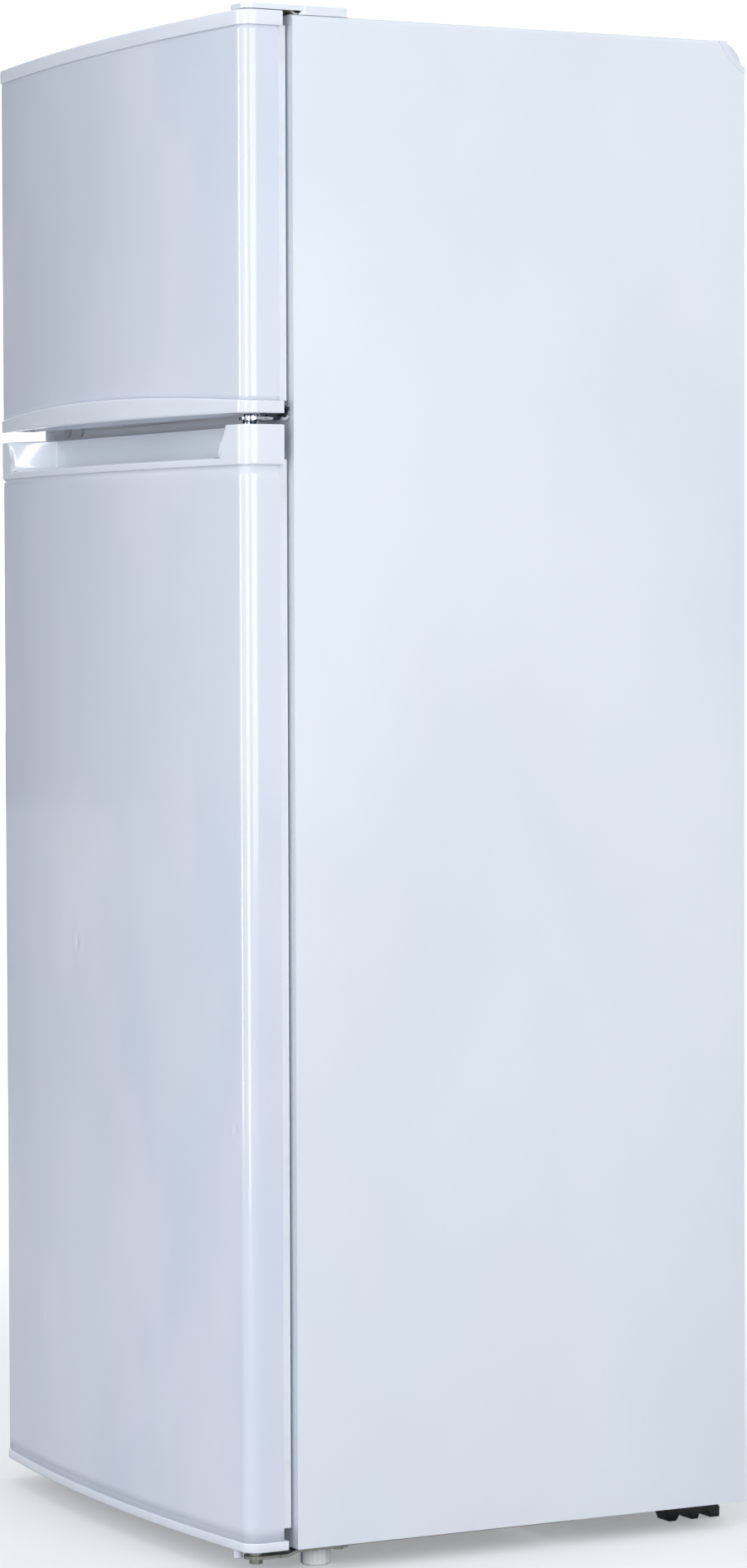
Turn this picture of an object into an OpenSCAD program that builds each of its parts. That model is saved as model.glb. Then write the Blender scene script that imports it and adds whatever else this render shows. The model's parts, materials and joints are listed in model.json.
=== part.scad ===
// Top freezer refrigerator: two doors hinged on the right, static cooling, millimetres.
// +Z is up, the doors face -Y, the origin is on the floor under the middle of the bounding box.

/* [Cabinet] */
// Width over the side panels
cab_w = 550; // [480:1:700]
// Depth of the side panels, doors not counted
cab_d = 472; // [420:1:650]
// Height of the cabinet top above the floor
cab_h = 1394; // [1300:1:1900]
// Height of the cabinet underside above the floor
base_z = 22; // [16:1:40]
// Thickness of the outer steel sheet
sheet_t = 1; // [0.6:0.1:1.5]
// Width of the steel flange round the front opening
flange_w = 22; // [16:1:30]
// Depth of the recess behind the rear panel
rear_recess = 19; // [15:1:30]
// Radius of the cabinet's top rear corner
trim_r = 25; // [9:1:28]
// Depth of the compressor bay at the floor
bay_depth = 187; // [170:1:220]
// Height of the compressor bay above the floor
bay_h = 236; // [220:1:280]

/* [Compartments] */
// Width of the fridge compartment
fridge_w = 458; // [400:1:600]
// Width of the freezer compartment
freezer_w = 444; // [400:1:600]
// Floor of the fridge compartment
fridge_z0 = 72; // [60:1:120]
// Ceiling of the fridge compartment
fridge_z1 = 980; // [900:1:1300]
// Floor of the freezer compartment
freezer_z0 = 1069; // [1000:1:1500]
// Ceiling of the freezer compartment
freezer_z1 = 1344; // [1200:1:1850]
// Depth of the fridge compartment above the bay
fridge_depth = 415; // [350:1:600]
// Depth of the fridge compartment beside the bay
fridge_step_depth = 255; // [200:1:400]
// Depth of the freezer compartment
freezer_depth = 385; // [330:1:560]
// Liner wall thickness
liner_t = 1.5; // [1:0.1:3]

/* [Doors] */
// Gap from the cabinet front to the back of the door caps
door_gap = 10; // [8:0.5:16]
// Distance from the cabinet front to the front edge at the door sides
door_side_y = 48.3; // [40:0.1:70]
// How far the door front bows out in the middle
door_bow = 17.2; // [2:0.1:30]
// Radius of the upright door corners
door_r = 13.7; // [6:0.1:30]
// Door sheet thickness
skin_t = 0.8; // [0.5:0.1:1.2]
// How far the plastic end caps stand proud of the sheet
cap_proud = 1.2; // [0.5:0.1:3]
// Underside of the fridge door
fridge_door_z0 = 22.5; // [20:0.5:60]
// Top of the fridge door
fridge_door_z1 = 1030.5; // [950:0.5:1400]
// Underside of the freezer door
freezer_door_z0 = 1040.5; // [960:0.5:1410]
// Top of the freezer door
freezer_door_z1 = 1396.5; // [1300:0.5:1900]
// Height of the top cap
top_cap_h = 13.5; // [8:0.5:30]
// Height of the bottom cap
bottom_cap_h = 8.5; // [6:0.5:30]
// Height of the grip cap on the fridge door
grip_cap_h = 36; // [25:0.5:60]
// Height of the visor cap at the sides of the freezer door
visor_h = 11; // [8:0.5:30]
// Extra height of the visor cap in the middle
visor_rise = 9.5; // [0:0.5:30]
// Extra bow of the visor cap
visor_bulge = 6; // [0:0.5:20]

/* [Grip scoop] */
// Half width of the scoop mouth at the top
scoop_top = 246; // [150:1:260]
// Half width of the scoop mouth at the lip
scoop_lip = 236; // [140:1:255]
// Half width of the scoop back wall
scoop_back = 189; // [100:1:240]
// Depth position of the scoop back wall, from the cabinet front
scoop_y = 25; // [18:1:40]
// Height of the lip above the cap's lower edge
lip_h = 7; // [4:0.5:20]

/* [Hinges] */
// Distance of the hinge line from the middle of the cabinet
hinge_x = 256; // [200:0.5:340]
// Distance of the hinge line in front of the cabinet
hinge_y = 33; // [20:0.5:60]
// Hinge pin diameter
pin_d = 7; // [5:0.5:10]
// Running clearance on the pin diameter
pin_clear = 0.12; // [0.05:0.01:0.3]
// Outer diameter of the door bushes
bush_d = 14; // [10:0.5:20]

/* [Fittings] */
// Diameter of the levelling feet
foot_d = 27; // [20:1:50]
// Diameter of the hermetic compressor shell
comp_d = 132; // [110:1:150]
// Thickness of the shelf glass
glass_t = 4; // [3:0.5:6]
// Heights of the three fridge shelves
shelf_z = [420, 590, 760]; // [300:10:900]
// Outer diameter of the condenser tube
tube_d = 5; // [4:0.5:8]

/* [Hidden] */
$fn = 48;
hw = cab_w / 2;
front_y = -(door_side_y + door_bow + visor_bulge + cap_proud);
rear_y = cab_d + 1;
origin_y = (front_y + rear_y) / 2;
bow_r = (hw * hw + door_bow * door_bow) / (2 * door_bow);
rear_panel_y = cab_d - rear_recess;
bay_y = cab_d - bay_depth;
skin_rear = -(door_gap + 4);
fw = fridge_w / 2;
zw = freezer_w / 2;
mull_z0 = fridge_z1 + 4;
mull_z1 = freezer_z0 - 2;
lip_z = fridge_door_z1 - grip_cap_h + lip_h;
hx = hinge_x;
hy = -hinge_y;
bin_w = 203.5;
bin_y = 85;
freezer_seal_z0 = freezer_door_z0 + visor_h + 0.3;
freezer_seal_z1 = freezer_door_z1 - 11.9;
fridge_seal_z0 = fridge_door_z0 + 17.9;
fridge_seal_z1 = fridge_door_z1 - 30.5;
drawer_w = 204;
drawer_y0 = 95;
drawer_y1 = fridge_step_depth - 10;
comp_y = 396;
comp_x = -30;

// ---------------------------------------------------------------- helpers

module place() {
    translate([0, -origin_y, 0]) children();
}

module blk(x0, x1, y0, y1, z0, z1) {
    translate([x0, y0, z0]) cube([x1 - x0, y1 - y0, z1 - z0]);
}

module both(x0, x1, y0, y1, z0, z1) {
    blk(x0, x1, y0, y1, z0, z1);
    blk(-x1, -x0, y0, y1, z0, z1);
}

// outline in X and Z, extruded along Y
module along_y(y0, y1) {
    translate([0, y1, 0]) rotate([90, 0, 0]) linear_extrude(y1 - y0) children();
}

// outline in Y and Z, extruded along X
module along_x(x0, x1) {
    translate([x0, 0, 0]) rotate([90, 0, 90]) linear_extrude(x1 - x0) children();
}

module rod_x(x0, x1, y, z, d) {
    translate([x0, y, z]) rotate([0, 90, 0]) cylinder(h = x1 - x0, d = d);
}

module rod_y(x, y0, y1, z, d) {
    translate([x, y0, z]) rotate([-90, 0, 0]) cylinder(h = y1 - y0, d = d);
}

module rod_z(x, y, z0, z1, d) {
    translate([x, y, z0]) cylinder(h = z1 - z0, d = d);
}

// square with rounded corners, from (x0, z0) to (x1, z1)
module rsq(x0, x1, z0, z1, r) {
    translate([x0 + r, z0]) square([x1 - x0 - 2 * r, z1 - z0]);
    translate([x0, z0 + r]) square([x1 - x0, z1 - z0 - 2 * r]);
    for (x = [x0 + r, x1 - r]) {
        for (z = [z0 + r, z1 - r]) {
            translate([x, z]) circle(r);
        }
    }
}

// door plan outline, inset by i, back edge at yr, extra bow b
function door_pts(i, yr, b = 0) =
    let (
        bw = door_bow + b,
        rb = (hw * hw + bw * bw) / (2 * bw),
        fy = -(door_side_y + bw),
        cx = hw - door_r,
        a1 = asin(cx / (rb - door_r)),
        cy = fy + rb - (rb - door_r) * cos(a1),
        rr = door_r - i,
        n = 8,
        m = 40
    )
    concat(
        [[hw - i, yr]],
        [for (k = [0:n]) let (a = -k * (90 - a1) / n) [cx + rr * cos(a), cy + rr * sin(a)]],
        [for (k = [1:m - 1]) let (q = a1 - 2 * a1 * k / m) [(rb - i) * sin(q), fy + rb - (rb - i) * cos(q)]],
        [for (k = [n:-1:0]) let (a = -k * (90 - a1) / n) [-cx - rr * cos(a), cy + rr * sin(a)]],
        [[-(hw - i), yr]]
    );

module door_slab(i, yr, z0, z1, b = 0) {
    translate([0, 0, z0]) linear_extrude(z1 - z0) polygon(door_pts(i, yr, b));
}

// everything under the arched top edge of the visor
module under_visor() {
    zr = freezer_door_z0 + visor_h;
    ra = (hw * hw + visor_rise * visor_rise) / (2 * visor_rise);
    along_y(-120, 40) {
        intersection() {
            translate([-hw - 10, freezer_door_z0 - 30]) square([cab_w + 20, 80]);
            translate([0, zr + visor_rise - ra]) circle(ra, $fn = 720);
        }
        translate([-hw - 10, freezer_door_z0 - 30]) square([cab_w + 20, 30 + visor_h]);
    }
}

module frame_box(x, y0, y1, z0, z1, w) {
    difference() {
        blk(-x, x, y0, y1, z0, z1);
        blk(-(x - w), x - w, y0 - 1, y1 + 1, z0 + w, z1 - w);
    }
}

// open-front box of wall t, with the cavity from y = 0 back to d
module liner_pan(w, d, z0, z1) {
    difference() {
        blk(-w - liner_t, w + liner_t, 0, d + liner_t, z0 - liner_t, z1 + liner_t);
        blk(-w, w, -1, d, z0, z1);
    }
}

// ---------------------------------------------------------------- cabinet

module wrap_shape(i) {
    difference() {
        rsq(-hw + i, hw - i, base_z - 20, cab_h - i, 5 - i);
        translate([-hw - 1, base_z - 40]) square([cab_w + 2, 40]);
    }
}

// the round recess along the top rear edge, grown by m
module rear_corner_cut(m) {
    translate([-hw - 1, cab_d + 26, cab_h + 22]) rotate([0, 90, 0])
        cylinder(h = cab_w + 2, r = 58 + m, $fn = 96);
}

module cabinet_wrapper() {
    color([0.86, 0.88, 0.92]) place() difference() {
        union() {
            along_y(0, cab_d) difference() {
                wrap_shape(0);
                wrap_shape(sheet_t);
                translate([-hw + sheet_t, base_z - 5]) square([cab_w - 2 * sheet_t, 40]);
            }
            along_y(0, sheet_t) difference() {
                wrap_shape(0);
                translate([-hw + flange_w, base_z - 5])
                    square([cab_w - 2 * flange_w, cab_h - base_z + 5 - flange_w - 3]);
            }
            both(hw - 10, hw - 0.5, cab_d - sheet_t, cab_d, base_z, cab_h - 60);
        }
        rear_corner_cut(0);
    }
}

module rear_panel() {
    color([0.66, 0.68, 0.70]) place()
        blk(-hw + sheet_t, hw - sheet_t, rear_panel_y, rear_panel_y + 1, bay_h, cab_h - 16);
}

module base_panel() {
    color([0.60, 0.61, 0.60]) place() difference() {
        along_x(-hw + sheet_t, hw - sheet_t) polygon([
            [sheet_t, base_z], [bay_y, base_z], [bay_y + 40.8, bay_h], [rear_panel_y, bay_h],
            [rear_panel_y, bay_h - 1], [bay_y + 42, bay_h - 1], [bay_y + 2, base_z],
            [bay_y + 1, base_z - 1], [sheet_t, base_z - 1]
        ]);
        for (s = [-1, 1]) {
            rod_z(s * 240, 35, base_z - 3, base_z + 3, 12);
        }
        rod_z(90, 428, bay_h - 3, bay_h + 3, 16.4);
        rod_z(-150, 430, bay_h - 3, bay_h + 3, 7);
    }
}

module lower_front_rail() {
    color([0.80, 0.82, 0.86]) place() {
        blk(-hw + flange_w, hw - flange_w, 0, sheet_t, base_z, fridge_z0 - 1.6);
    }
}

module mullion_rail() {
    color([0.74, 0.77, 0.83]) place() difference() {
        union() {
            blk(-hw + flange_w, hw - flange_w, 0, 1.2, mull_z0, mull_z1);
            blk(-hw + flange_w, hw - flange_w, 1.2, 14, mull_z0, mull_z0 + 1.2);
            blk(-hw + flange_w, hw - flange_w, 1.2, 14, mull_z1 - 1.2, mull_z1);
        }
        for (x = [-218, -187]) {
            rod_y(x, -1, 3, 1041, 5);
        }
        for (x = [222, 244]) {
            rod_y(x, -1, 3, 1043.4, 5);
        }
    }
}

module rear_top_trim() {
    color([0.90, 0.92, 0.95]) place() difference() {
        intersection() {
            rear_corner_cut(-0.2);
            along_x(-hw + 0.2, hw - 0.2) rsq(cab_d - 60, rear_y, cab_h - 60, cab_h - 0.2, trim_r);
        }
        for (x = [-hw - 1, hw - 7]) {
            translate([x, cab_d + 12, cab_h + 5]) rotate([0, 90, 0]) cylinder(h = 8, r = 31, $fn = 72);
        }
    }
}

module liner_flange(w, z0, z1, o0, o1) {
    difference() {
        blk(-hw + flange_w, hw - flange_w, 0, liner_t, z0 - o0, z1 + o1);
        blk(-w, w, -1, liner_t + 1, z0, z1);
    }
}

module freezer_liner() {
    color([0.94, 0.95, 0.96]) place() {
        difference() {
            union() {
                liner_pan(zw, freezer_depth, freezer_z0, freezer_z1);
                liner_flange(zw, freezer_z0, freezer_z1, 1.6, cab_h - flange_w - 3 - freezer_z1);
                both(zw - 8, zw + 0.5, 90, 380, 1190, 1194);
            }
        }
    }
}

module fridge_liner() {
    color([0.94, 0.95, 0.96]) place() difference() {
        union() {
            along_x(-fw - liner_t, fw + liner_t) polygon([
                [0, fridge_z0 - liner_t], [fridge_step_depth + liner_t, fridge_z0 - liner_t],
                [fridge_step_depth + liner_t + 30, bay_h + 44], [fridge_depth + liner_t, bay_h + 44],
                [fridge_depth + liner_t, fridge_z1 + liner_t], [0, fridge_z1 + liner_t]
            ]);
            liner_flange(fw, fridge_z0, fridge_z1, 1.5, 3.9);
        }
        difference() {
            along_x(-fw, fw) polygon([
                [-1, fridge_z0], [fridge_step_depth, fridge_z0],
                [fridge_step_depth + 30, bay_h + 44 + liner_t], [fridge_depth, bay_h + 44 + liner_t],
                [fridge_depth, fridge_z1], [-1, fridge_z1]
            ]);
            for (z = concat(shelf_z, [246])) {
                both(fw - 9, fw + 1, 98, (z > 300 ? 408 : 250), z - 5, z - 0.2);
            }
        }
        rod_y(90, fridge_depth - 2, fridge_depth + 5, 296, 13.8);
    }
}

module cabinet_foam() {
    color([0.93, 0.87, 0.70]) place() difference() {
        along_y(liner_t, rear_panel_y) wrap_shape(sheet_t);
        along_x(-hw, hw) polygon([
            [0, 0], [0, base_z], [bay_y, base_z], [bay_y + 40.8, bay_h], [rear_panel_y + 5, bay_h],
            [rear_panel_y + 5, 0]
        ]);
        rear_corner_cut(1);
        blk(-zw - liner_t, zw + liner_t, 0, freezer_depth + liner_t,
            freezer_z0 - liner_t, freezer_z1 + liner_t);
        along_x(-fw - liner_t, fw + liner_t) polygon([
            [0, fridge_z0 - liner_t], [fridge_step_depth + liner_t, fridge_z0 - liner_t],
            [fridge_step_depth + liner_t + 30, bay_h + 44], [fridge_depth + liner_t, bay_h + 44],
            [fridge_depth + liner_t, fridge_z1 + liner_t], [0, fridge_z1 + liner_t]
        ]);
        blk(-hw + flange_w, hw - flange_w, 0, 14, mull_z0, mull_z1);
        blk(-180, 180, freezer_depth, freezer_depth + 12, 1100, 1320);
        blk(-190, 190, fridge_depth, fridge_depth + 12, 560, 930);
        for (s = [-1, 1]) {
            rod_z(s * 240, 35, base_z - 1, base_z + 26, 14);
        }
        rod_z(90, 428, bay_h - 3, 297, 16.4);
        rod_y(90, fridge_depth, 436, 296, 16.4);
        rod_z(-150, 430, bay_h - 3, 500, 6.5);
    }
}

module plate_coil(y, x, z0, z1, n) {
    blk(-x, x, y, y + 1.6, z0, z1);
    p = (z1 - z0 - 20) / (n - 1);
    for (k = [0:n - 1]) {
        rod_x(-x + 14, x - 14, y + 5, z0 + 10 + k * p, 7);
    }
    for (k = [0:n - 2]) {
        rod_z((k % 2 == 0 ? 1 : -1) * (x - 14), y + 5, z0 + 10 + k * p, z0 + 10 + (k + 1) * p, 7);
    }
}

module freezer_evaporator() {
    color([0.78, 0.79, 0.80]) place() plate_coil(freezer_depth + liner_t, 178, 1102, 1318, 5);
}

module fridge_evaporator() {
    color([0.78, 0.79, 0.80]) place() plate_coil(fridge_depth + liner_t, 188, 562, 928, 6);
}

module condenser() {
    y = rear_panel_y + 10;
    z0 = 300;
    n = 12;
    p = 78;
    color([0.12, 0.12, 0.13]) place() {
        for (k = [0:n - 1]) {
            rod_x(-200, 200, y, z0 + k * p, tube_d);
        }
        for (k = [0:n - 2]) {
            s = k % 2 == 0 ? 1 : -1;
            rod_z(s * 200, y, z0 + k * p - tube_d / 2, z0 + (k + 1) * p + tube_d / 2, tube_d);
        }
        for (k = [0:19]) {
            rod_z(-190 + k * 20, y + 3.4, z0 - 14, z0 + (n - 1) * p + 14, 1.6);
        }
        for (z = [495, 807, 1119]) {
            for (x = [-190, 190]) {
                difference() {
                    blk(x - 5, x + 5, rear_panel_y + 1, y + 5, z - 7, z + 7);
                    rod_z(x, y + 3.4, z - 8, z + 8, 1.9);
                }
            }
        }
    }
}

module compressor_tray() {
    color([0.10, 0.10, 0.11]) place() difference() {
        union() {
            blk(-hw + sheet_t + 0.2, hw - sheet_t - 0.2, 306, 466, base_z + 1, base_z + 3);
            blk(-hw + sheet_t + 0.2, hw - sheet_t - 0.2, 464, 466, base_z + 1, base_z + 16);
            both(hw - 3.2, hw - 1.2, 330, 466, base_z + 1, base_z + 22);
        }
        for (x = [-62, 62]) {
            for (y = [-46, 46]) {
                rod_z(comp_x + x, comp_y + y, base_z, base_z + 5, 10);
            }
        }
    }
}

module compressor() {
    color([0.09, 0.09, 0.10]) place() translate([comp_x, comp_y, 0]) {
        translate([0, 0, 46]) rotate_extrude($fn = 96) polygon([
            [0, 0], [44, 0], [58, 5], [64, 16], [66, 34], [66, 66], [68.5, 68], [68.5, 76], [66, 78],
            [66, 104], [62, 126], [50, 143], [30, 151], [0, 154]
        ]);
        for (s = [-1, 1]) {
            difference() {
                blk(-76, 76, s * 46 - 12, s * 46 + 12, 40, 43.5);
                for (x = [-62, 62]) {
                    rod_z(x, s * 46, 38, 46, 15.2);
                }
            }
            blk(-30, 30, s * 46 - 10, s * 46 + 10, 43.5, 56);
        }
        rod_x(-92, -60, 30, 120, 7);
        rod_x(-92, -60, -28, 96, 7);
    }
}

module compressor_grommets() {
    color([0.05, 0.05, 0.05]) place() {
        for (x = [-62, 62]) {
            for (y = [-46, 46]) {
                translate([comp_x + x, comp_y + y, 0]) {
                    rod_z(0, 0, base_z + 3, 40, 22);
                    rod_z(0, 0, base_z + 1, base_z + 3, 10);
                    rod_z(0, 0, 40, 43.5, 15.2);
                    rod_z(0, 0, 43.5, 48, 20);
                }
            }
        }
    }
}

module relay_box() {
    color([0.14, 0.14, 0.15]) place() difference() {
        union() {
            blk(comp_x + 60, comp_x + 104, comp_y - 26, comp_y + 26, 76, 128);
            blk(comp_x + 70, comp_x + 100, comp_y - 14, comp_y + 14, 128, 134);
        }
        translate([comp_x, comp_y, 40]) cylinder(h = 120, r = 68.7, $fn = 96);
    }
}

module evaporating_pan() {
    color([0.12, 0.12, 0.13]) place() difference() {
        blk(comp_x - 68, comp_x + 134, comp_y - 56, comp_y + 56, 200.2, 226);
        blk(comp_x - 66, comp_x + 132, comp_y - 54, comp_y + 54, 202.2, 230);
    }
}

module drain_tube() {
    color([0.16, 0.16, 0.17]) place() difference() {
        union() {
            rod_z(90, 428, 212, 296, 16);
            rod_y(90, fridge_depth + liner_t, 436, 296, 16);
            rod_y(90, fridge_depth - 1, fridge_depth + liner_t + 1, 296, 13.6);
        }
        rod_z(90, 428, 210, 296, 12);
        rod_y(90, fridge_depth - 3, 432, 296, 11);
    }
}

module filter_drier() {
    color([0.72, 0.42, 0.27]) place() {
        rod_z(-212, 440, 96, 190, 20);
        translate([-212, 440, 190]) cylinder(h = 12, d1 = 20, d2 = 6.4);
        translate([-212, 440, 84]) cylinder(h = 12, d1 = 6.4, d2 = 20);
    }
}

// turn that lays a cylinder along one of the six axis directions
function lie_along(u) =
    u[0] != 0 ? [0, 90 * u[0], 0] : (u[1] != 0 ? [-90 * u[1], 0, 0] : [u[2] > 0 ? 0 : 180, 0, 0]);

// tube along the axes from point to point; each run passes a little into the next at the elbow
module tube_path(pts, d) {
    last = len(pts) - 2;
    for (k = [0:last]) {
        run = pts[k + 1] - pts[k];
        u = run / norm(run);
        e0 = k == 0 ? 0 : 0.3 * d;
        e1 = k == last ? 0 : 0.3 * d;
        translate(pts[k] - u * e0) rotate(lie_along(u))
            cylinder(h = norm(run) + e0 + e1, d = d, $fn = 24);
    }
}

module refrigerant_tubes() {
    color([0.70, 0.41, 0.27]) place() {
        tube_path([
            [-122, 426, 120], [-136, 426, 120], [-136, 463, 120], [-240, 463, 120], [-240, 463, 1158],
            [-202.7, 463, 1158]
        ], 5);
        tube_path([
            [-202.7, 463, 300], [-212, 463, 300], [-212, 463, 220], [-212, 440, 220], [-212, 440, 202]
        ], 5);
        tube_path([[-122, 368, 96], [-150, 368, 96], [-150, 430, 96], [-150, 430, 500]], 6.4);
        tube_path([[-212, 440, 84], [-212, 440, 66], [-180, 440, 66], [-180, 440, 232]], 3);
    }
}

module cord_gland() {
    color([0.15, 0.15, 0.16]) place() difference() {
        union() {
            blk(150, 190, 462, 464, base_z + 3, base_z + 44);
            blk(150, 190, 446, 462, base_z + 3, base_z + 5);
            rod_y(170, 464, 472, 48, 20);
            rod_y(170, 452, 462, 48, 16);
        }
        rod_y(170, 440, 480, 48, 8.4);
    }
}

module thermostat_housing() {
    color([0.93, 0.94, 0.96]) place() difference() {
        union() {
            blk(-80, 186, 96, 262, 942, fridge_z1 - 0.1);
            blk(148, 186, 37, 96, 958, fridge_z1 - 0.1);
        }
        blk(-76, 90, 100, 258, 930, 970);
        rod_y(120, 90, 108, 962, 8.2);
        rod_y(166, 30, 62, 966, 7.4);
    }
}

module lamp_bulb() {
    color([0.97, 0.95, 0.86]) place() {
        rod_y(10, 226, 257.8, 957, 14);
        rod_y(10, 196, 226, 957, 12);
        translate([10, 192, 957]) sphere(d = 20);
    }
}

module lamp_cover() {
    color([0.90, 0.93, 0.97, 0.6]) place() difference() {
        blk(-75.7, 89.7, 100.3, 257.7, 934, 946);
        blk(-73.7, 87.7, 102.3, 255.7, 936, 950);
        for (k = [0:10]) {
            blk(-60, 70, 120 + k * 12, 124 + k * 12, 930, 938);
        }
    }
}

module shelf_glass() {
    color([0.75, 0.86, 0.84, 0.5]) place() {
        for (z = shelf_z) {
            blk(-fw + 2, fw - 2, 112, 396, z, z + glass_t);
        }
    }
}

module shelf_trims() {
    color([0.94, 0.95, 0.97]) place() {
        for (z = shelf_z) {
            difference() {
                union() {
                    blk(-fw + 2, fw - 2, 98, 120, z - 0.2, z + 9);
                    blk(-fw + 2, fw - 2, 388, 404, z - 0.2, z + 12);
                }
                blk(-fw, fw, 112, 396, z, z + glass_t);
            }
        }
    }
}

module crisper_cover() {
    color([0.78, 0.88, 0.86, 0.6]) place() {
        difference() {
            blk(-fw + 2, fw - 2, 98, 120, 245.8, 258);
            blk(-fw, fw, 110, 121, 246, 250);
        }
        blk(-fw + 2, fw - 2, 110, 252, 246, 250);
    }
}

module freezer_shelf() {
    color([0.88, 0.90, 0.93]) place() {
        for (y = [82, 376]) {
            rod_x(-zw + 2, zw - 2, y, 1197.2, 5);
        }
        for (s = [-1, 1]) {
            rod_y(s * (zw - 6), 82, 376, 1196.6, 5);
        }
        for (k = [0:16]) {
            rod_y(-200 + k * 25, 82, 376, 1200, 2.6);
        }
    }
}

module ice_tray() {
    color([0.80, 0.87, 0.95, 0.8]) place() difference() {
        blk(-110, 10, 110, 340, freezer_z0, freezer_z0 + 34);
        for (i = [0:1]) {
            blk(-106 + i * 58, -52 + i * 58, 114, 336, freezer_z0 + 5, freezer_z0 + 40);
        }
    }
}

// ---------------------------------------------------------------- hinges

module top_hinge() {
    z = cab_h;
    color([0.62, 0.63, 0.62]) place() difference() {
        union() {
            along_x(226, 268) polygon([
                [54, z], [54, z + 2.2], [6.6, z + 2.2], [1.2, z + 5.6], [hy, z + 5.6], [hy, z + 3.4],
                [0.4, z + 3.4], [5.8, z]
            ]);
            translate([hx, hy, z + 3.4]) cylinder(h = 2.2, r = 11);
            rod_z(hx, hy, z - 9, z + 4, pin_d);
            rod_z(hx, hy, freezer_door_z1 + 0.5, z + 3.4, 13);
        }
        blk(200, 243, hy - 20, 10, z - 1, z + 8);
        blk(267.5, 280, hy - 20, -2, z, z + 8);
        for (p = [[236, 20], [236, 44], [258, 32]]) {
            rod_z(p[0], p[1], z - 1, z + 4, 5);
        }
    }
}

module top_hinge_cover() {
    z = cab_h;
    color([0.90, 0.92, 0.95]) place() difference() {
        union() {
            translate([0, 0, z + 0.2]) linear_extrude(8) rsq(222, 272, 8, 60, 7);
            translate([0, 0, z + 3.6]) linear_extrude(4.6) rsq(238, 272, hy - 13, 20, 9);
        }
        translate([0, 0, z - 1]) linear_extrude(7.6) rsq(223.6, 270.4, 9.6, 58.4, 5.4);
        translate([0, 0, z + 2]) linear_extrude(4.6) rsq(239.6, 270.4, hy - 11.4, 20, 7.4);
        blk(241, 269, 5, 12, z - 1, z + 2.6);
    }
}

module middle_hinge() {
    z = 1034.6;
    t = 2.6;
    color([0.78, 0.80, 0.83]) place() difference() {
        union() {
            translate([hx, hy, z]) cylinder(h = t, r = 11);
            blk(245, 267, hy, -5, z, z + t);
            along_x(212, 267) difference() {
                union() {
                    translate([-5, z + 5]) circle(5);
                    translate([-12, z]) square([7, t]);
                    translate([-2, z + 5]) square([1.9, 8]);
                }
                translate([-5, z + 5]) circle(2.6);
                translate([-13, z + t]) square([8, 10]);
                translate([-11, z + 4.6]) square([9, 10]);
            }
            rod_z(hx, hy, z - 16, z + 16 + t, pin_d);
            rod_z(hx, hy, fridge_door_z1 + 0.4, z, 15);
            rod_z(hx, hy, z + t, freezer_door_z0 - 0.4, 13);
        }
        for (x = [222, 244]) {
            rod_y(x, -4, 1, 1043.4, 4.4);
        }
    }
}

module bottom_hinge() {
    z = base_z;
    color([0.52, 0.52, 0.46]) place() difference() {
        union() {
            along_x(206, 268) polygon([
                [54, z - 1.2], [54, z - 4], [3, z - 4], [-6, z - 7.4], [-14, z - 7.4], [-14, z - 4.6],
                [-6.6, z - 4.6], [2.4, z - 1.2]
            ]);
            along_x(245, 267) translate([hy, z - 7.4]) square([-13 - hy, 2.8]);
            translate([hx, hy, z - 7.4]) cylinder(h = 2.8, r = 11);
            rod_z(hx, hy, z - 5, z + 16, pin_d);
            rod_z(hx, hy, z - 4.6, fridge_door_z0 - 0.4, 13);
            translate([hx, hy, z - 12.5]) cylinder(h = 5.2, r = 6, $fn = 6);
        }
        translate([0, 0, 0]) blk(190, 240, -30, -8, z - 9, z);
        rod_z(240, 35, z - 9, z, 10);
        for (p = [[216, 20], [216, 46], [260, 48]]) {
            rod_z(p[0], p[1], z - 9, z, 5);
        }
    }
}

module screw_down(x, y, z, l) {
    translate([x, y, z]) cylinder(h = 2.2, d = 9, $fn = 32);
    translate([x, y, z - l]) cylinder(h = l, d = 4.2, $fn = 24);
}

module hinge_screws() {
    color([0.70, 0.71, 0.70]) place() {
        for (p = [[236, 20], [236, 44], [258, 32]]) {
            screw_down(p[0], p[1], cab_h + 2.2, 2.1);
        }
        for (x = [222, 244]) {
            rod_y(x, -3.1, -2.05, 1043.4, 8);
            rod_y(x, -2.05, -0.1, 1043.4, 4.2);
        }
        for (p = [[216, 20], [216, 46], [260, 48]]) {
            translate([p[0], p[1], base_z - 6.2]) cylinder(h = 2.2, d = 9, $fn = 32);
            translate([p[0], p[1], base_z - 4]) cylinder(h = 2.9, d = 4.2, $fn = 24);
        }
    }
}

module hole_plugs() {
    color([0.82, 0.85, 0.90]) place() {
        for (x = [-218, -187]) {
            rod_y(x, -2.4, 0, 1041, 12.5);
            rod_y(x, 0, 1.2, 1041, 4.8);
        }
    }
}

module rear_feet() {
    color([0.09, 0.09, 0.10]) place() {
        for (s = [-1, 1]) {
            translate([s > 0 ? 208 : -230, 0, 0]) along_x(0, 22) polygon([
                [395, 23], [403, 20], [411, 12], [416, 0], [424, 0], [428, 6], [433, 7.5], [438, 6],
                [441, 0], [448, 0], [452, 10], [458, 8], [462, 0], [472, 0], [472.4, 9], [466, 20], [465, 23]
            ]);
        }
    }
}

// ---------------------------------------------------------------- small moving pieces

module thermostat_knob() {
    color([0.92, 0.93, 0.95]) place() {
        rod_y(120, 87, 95.6, 962, 30);
        blk(118, 122, 80, 88, 950, 974);
        rod_y(120, 95, 107, 962, 8);
    }
}

module door_switch_button() {
    color([0.93, 0.94, 0.96]) place() {
        rod_y(166, 34, 56, 966, 7);
        translate([166, 34, 966]) sphere(d = 6.9);
    }
}

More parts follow.
